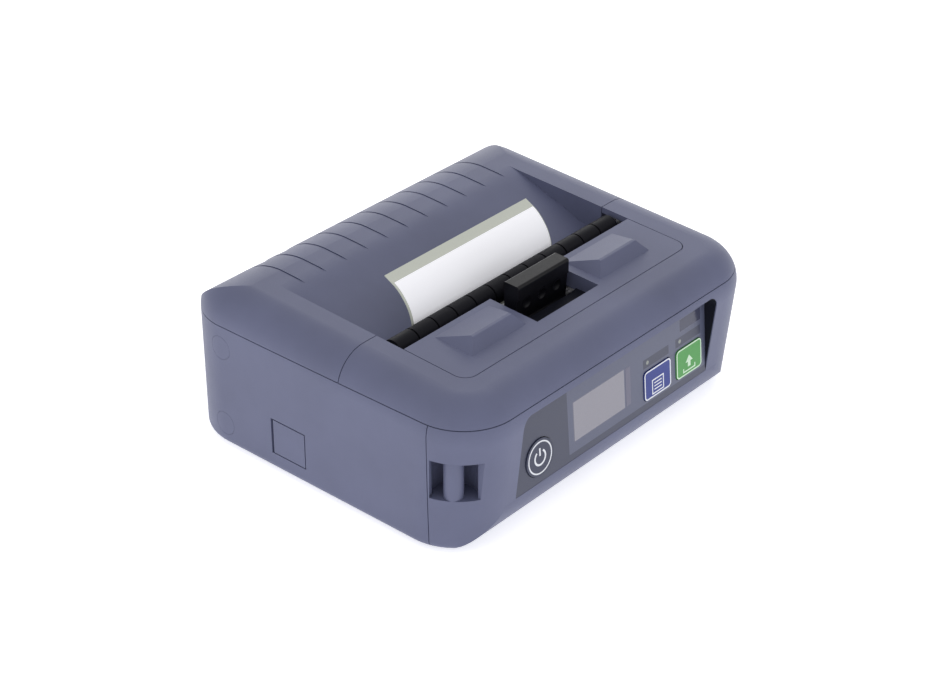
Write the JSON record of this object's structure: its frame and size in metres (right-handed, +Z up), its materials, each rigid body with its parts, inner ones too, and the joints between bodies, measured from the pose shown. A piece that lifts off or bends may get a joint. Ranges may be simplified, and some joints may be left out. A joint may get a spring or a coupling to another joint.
{
  "type": "portable label printer",
  "caption": "Battery label printer with a hinged paper lid over a roll bay, a sprung latch lever, strap posts and a front key panel",
  "frame": {"origin": "on the table under the middle of the case", "axes": "+Z up, +X along the width, the key panel faces -Y"},
  "size_m": [0.15, 0.1289, 0.0665],
  "materials": {
    "case_plastic": "fine texture",
    "black_plastic": "gloss",
    "dark_overlay": "satin film",
    "display": "gloss",
    "lcd": "satin",
    "power_key": "satin",
    "blue_key": "satin",
    "green_key": "satin",
    "lamp": "gloss",
    "board": "satin",
    "steel": "brushed",
    "alloy": "satin",
    "ceramic": "gloss",
    "nylon": "satin",
    "rubber": "matte",
    "battery_wrap": "satin",
    "paper": "paper",
    "card": "card",
    "socket": "satin"
  },
  "bodies": {
    "housing": {"base_casing": "case_plastic", "front_casing": "case_plastic", "top_cover": "case_plastic", "latch_plate": "case_plastic", "battery_cover": "case_plastic", "screw_plugs": "case_plastic", "panel_overlay": "dark_overlay", "ir_window": "dark_overlay", "display_window": "display", "lcd_module": "lcd", "charge_led": "lamp", "status_led": "lamp", "key_board": "board", "main_board": "board", "port_board": "board", "lid_hinge_pins": "steel", "casing_screws": "steel", "mechanism_frame": "steel", "idler_pin": "steel", "lever_shaft": "steel", "side_door_pin": "steel", "head_springs": "steel", "feed_motor": "steel", "print_head_heatsink": "alloy", "print_head_bar": "ceramic", "guide_rail": "nylon", "rubber_feet": "rubber", "battery_pack": "battery_wrap", "label_web_feed": "paper", "data_connector": "socket", "power_jack": "socket"},
    "lid": {"paper_lid": "case_plastic", "platen_bushes": "nylon", "label_web_exit": "paper"},
    "platen": {"platen_shaft": "steel", "platen_rubber": "rubber", "platen_gear": "nylon"},
    "idler": {"idler_gear": "nylon"},
    "motor_rotor": {"motor_shaft": "steel", "motor_pinion": "nylon"},
    "exit_roller": {"exit_roller_shaft": "steel", "exit_roller_sleeves": "black_plastic"},
    "lever": {"latch_lever": "black_plastic"},
    "power_key": {"power_button": "power_key"},
    "print_key": {"print_button": "blue_key"},
    "feed_key": {"feed_button": "green_key"},
    "port_door": {"side_door": "case_plastic"},
    "roll": {"label_roll": "paper", "roll_core": "card"},
    "guide_left": {"roll_guide_left": "nylon"},
    "guide_right": {"roll_guide_right": "nylon"}
  },
  "joints": [
    {"name": "lid_hinge", "type": "hinge", "parent": "housing", "child": "lid", "pos_m": [0, 0.0584, 0.0448], "axis": [-1, 0, 0], "range_deg": [0, 78]},
    {"name": "platen_spin", "type": "hinge", "parent": "lid", "child": "platen", "pos_m": [0, -0.0032, 0.0375], "axis": [1, 0, 0], "continuous": true},
    {"name": "idler_spin", "type": "hinge", "parent": "housing", "child": "idler", "pos_m": [0, -0.00165, 0.02439], "axis": [1, 0, 0], "continuous": true},
    {"name": "motor_spin", "type": "hinge", "parent": "housing", "child": "motor_rotor", "pos_m": [0, -0.01275, 0.02183], "axis": [1, 0, 0], "continuous": true},
    {"name": "exit_roller_spin", "type": "hinge", "parent": "housing", "child": "exit_roller", "pos_m": [0, -0.0144, 0.0512], "axis": [1, 0, 0], "continuous": true},
    {"name": "latch_hinge", "type": "hinge", "parent": "housing", "child": "lever", "pos_m": [0, -0.027, 0.046], "axis": [-1, 0, 0], "range_deg": [0, 8], "stiffness_Nm_per_rad": 0.05, "springref_deg": -11.46},
    {"name": "power_press", "type": "slide", "parent": "housing", "child": "power_key", "axis": [0, 0.9962, -0.0872], "range_m": [0, 0.0005], "stiffness_N_per_m": 400, "springref_m": -0.0005},
    {"name": "print_press", "type": "slide", "parent": "housing", "child": "print_key", "axis": [0, 0.9962, -0.0872], "range_m": [0, 0.0005], "stiffness_N_per_m": 400, "springref_m": -0.0005},
    {"name": "feed_press", "type": "slide", "parent": "housing", "child": "feed_key", "axis": [0, 0.9962, -0.0872], "range_m": [0, 0.0005], "stiffness_N_per_m": 400, "springref_m": -0.0005},
    {"name": "side_door_hinge", "type": "hinge", "parent": "housing", "child": "port_door", "pos_m": [-0.0739, 0.02005, 0.014], "axis": [0, 0, -1], "range_deg": [0, 95]},
    {"name": "roll_spin", "type": "hinge", "parent": "housing", "child": "roll", "pos_m": [0, 0.033, 0.0225], "axis": [1, 0, 0], "continuous": true},
    {"name": "guide_left_slide", "type": "slide", "parent": "housing", "child": "guide_left", "axis": [-1, 0, 0], "range_m": [0, 0.016]},
    {"name": "guide_right_slide", "type": "slide", "parent": "housing", "child": "guide_right", "axis": [1, 0, 0], "range_m": [0, 0.016]}
  ],
  "couplings": [
    {"joint": "motor_spin", "follows": "platen_spin", "ratio": 1.5},
    {"joint": "idler_spin", "follows": "platen_spin", "ratio": -0.69231},
    {"joint": "guide_right_slide", "follows": "guide_left_slide", "ratio": 1}
  ]
}
